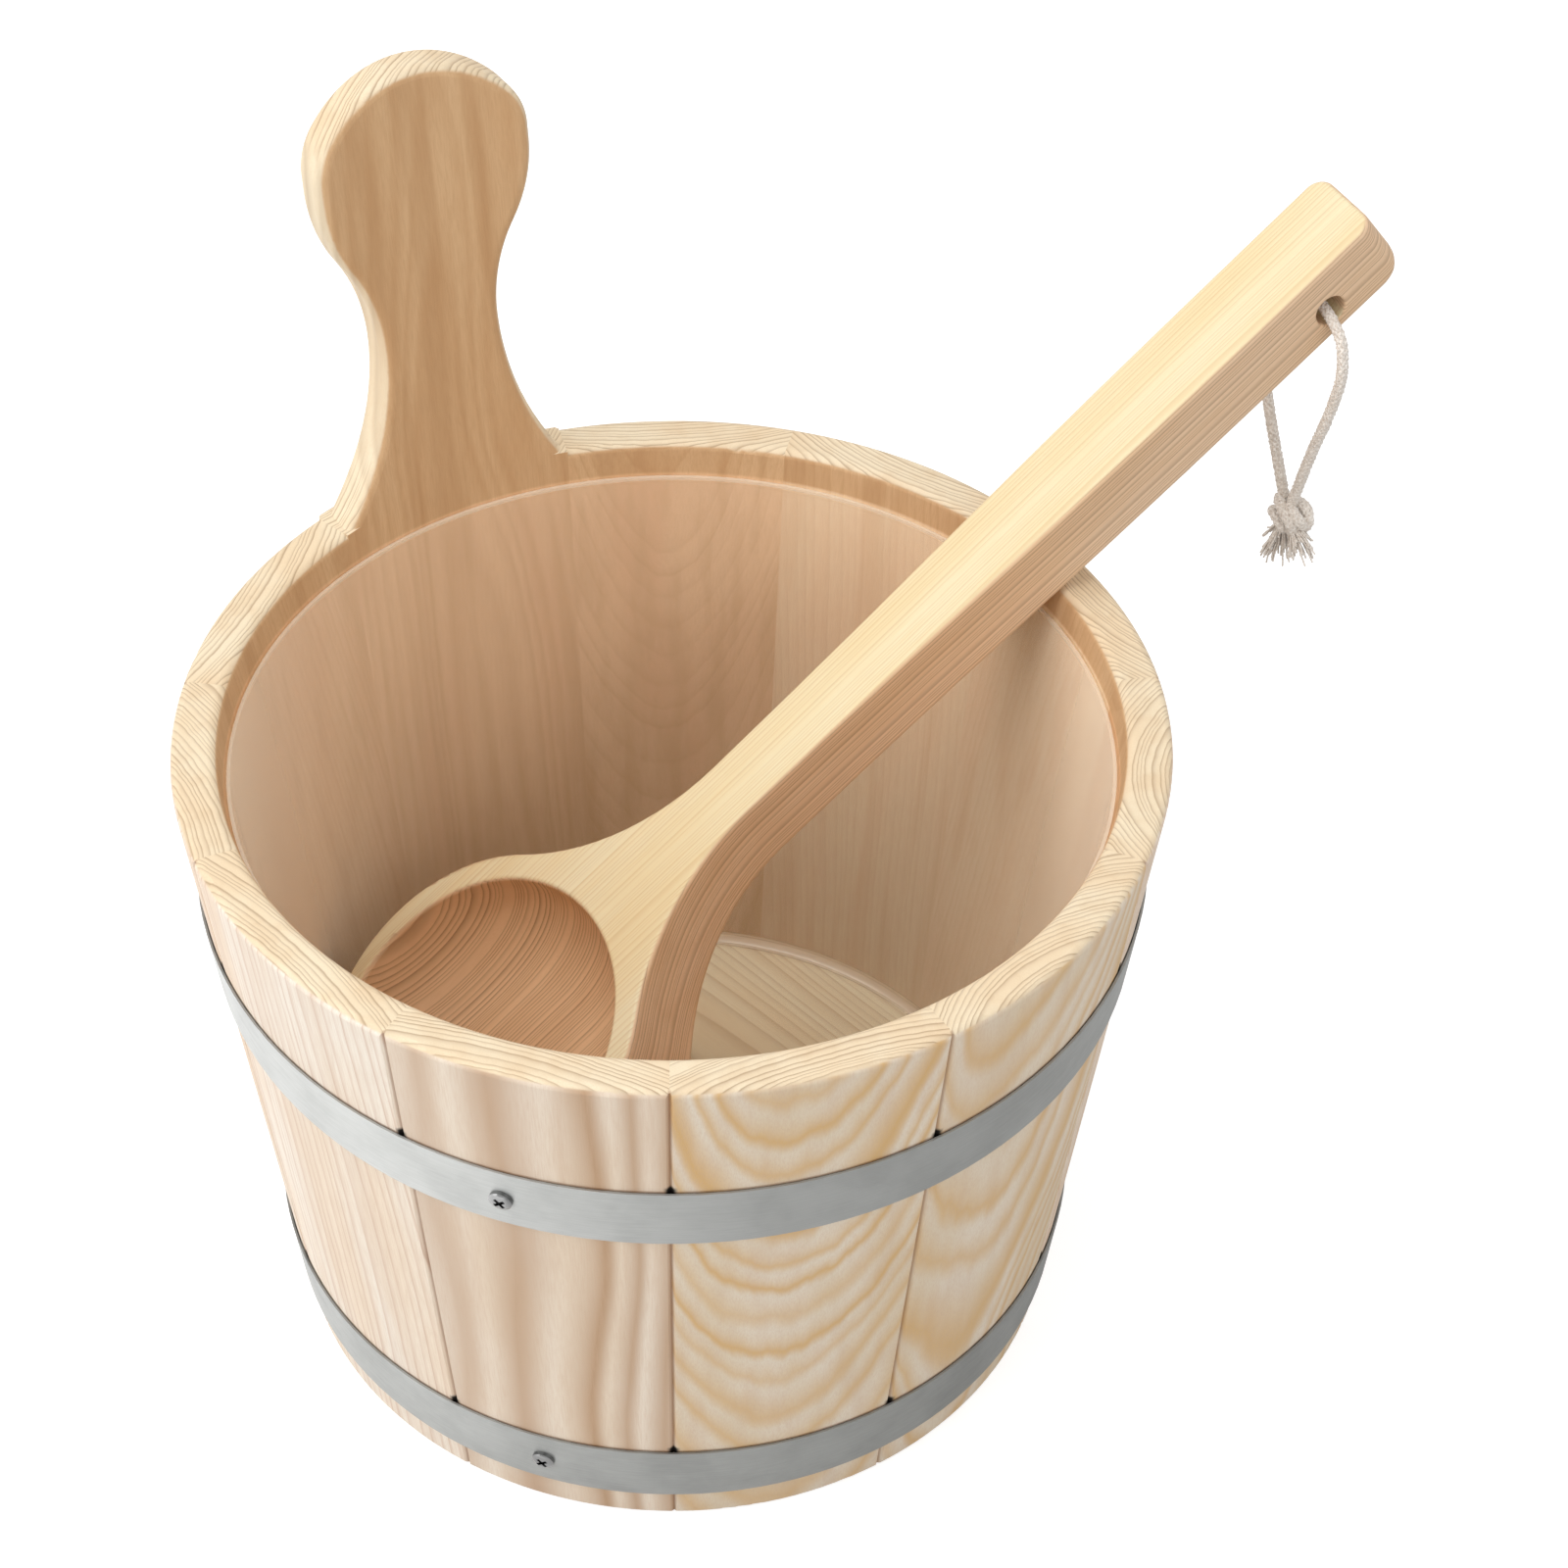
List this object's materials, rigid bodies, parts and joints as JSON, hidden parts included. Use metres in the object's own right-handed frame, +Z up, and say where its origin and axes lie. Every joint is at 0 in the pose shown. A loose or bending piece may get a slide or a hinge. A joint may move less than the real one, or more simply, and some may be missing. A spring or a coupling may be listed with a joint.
{
  "type": "wooden piggin",
  "caption": "Coopered wooden pail with one long stave as its handle, steel hoops, a plastic liner and a wooden ladle with a hanging cord leaning in it.",
  "frame": {"origin": "on the pail's axis, in the plane of the stave ends that it stands on", "axes": "+Z up along the pail's axis, -Y towards the front of the picture, +X to its right, where the ladle leans over the rim"},
  "size_m": [0.3094, 0.2546, 0.3056],
  "materials": {
    "stave_wood": "planed and sanded pine or spruce, bare",
    "board_wood": "sanded softwood, bare",
    "ladle_wood": "carved and sanded softwood, bare",
    "hoop_steel": "galvanised strip, satin",
    "screw_steel": "zinc plated",
    "liner_plastic": "thin clear moulded plastic, slightly milky",
    "cotton_cord": "braided cotton"
  },
  "bodies": {
    "pail": {"stave_01": "stave_wood", "stave_02": "stave_wood", "stave_03": "stave_wood", "stave_04": "stave_wood", "stave_05": "stave_wood", "stave_06": "stave_wood", "stave_07": "stave_wood", "stave_08": "stave_wood", "stave_09": "stave_wood", "stave_10": "stave_wood", "handle_stave": "stave_wood", "bottom_board": "board_wood", "upper_hoop": "hoop_steel", "lower_hoop": "hoop_steel", "upper_hoop_screw": "screw_steel", "lower_hoop_screw": "screw_steel"},
    "liner_cup": {"liner": "liner_plastic"},
    "ladle_with_cord": {"ladle": "ladle_wood", "cord_loop": "cotton_cord", "cord_knot": "cotton_cord", "cord_tail": "cotton_cord"}
  },
  "joints": [
    {"name": "liner_lift", "type": "slide", "parent": "pail", "child": "liner_cup", "axis": [0, 0, 1], "range_m": [0, 0.2]},
    {"name": "ladle_lift", "type": "slide", "parent": "liner_cup", "child": "ladle_with_cord", "axis": [0, 0, 1], "range_m": [0, 0.25]}
  ]
}
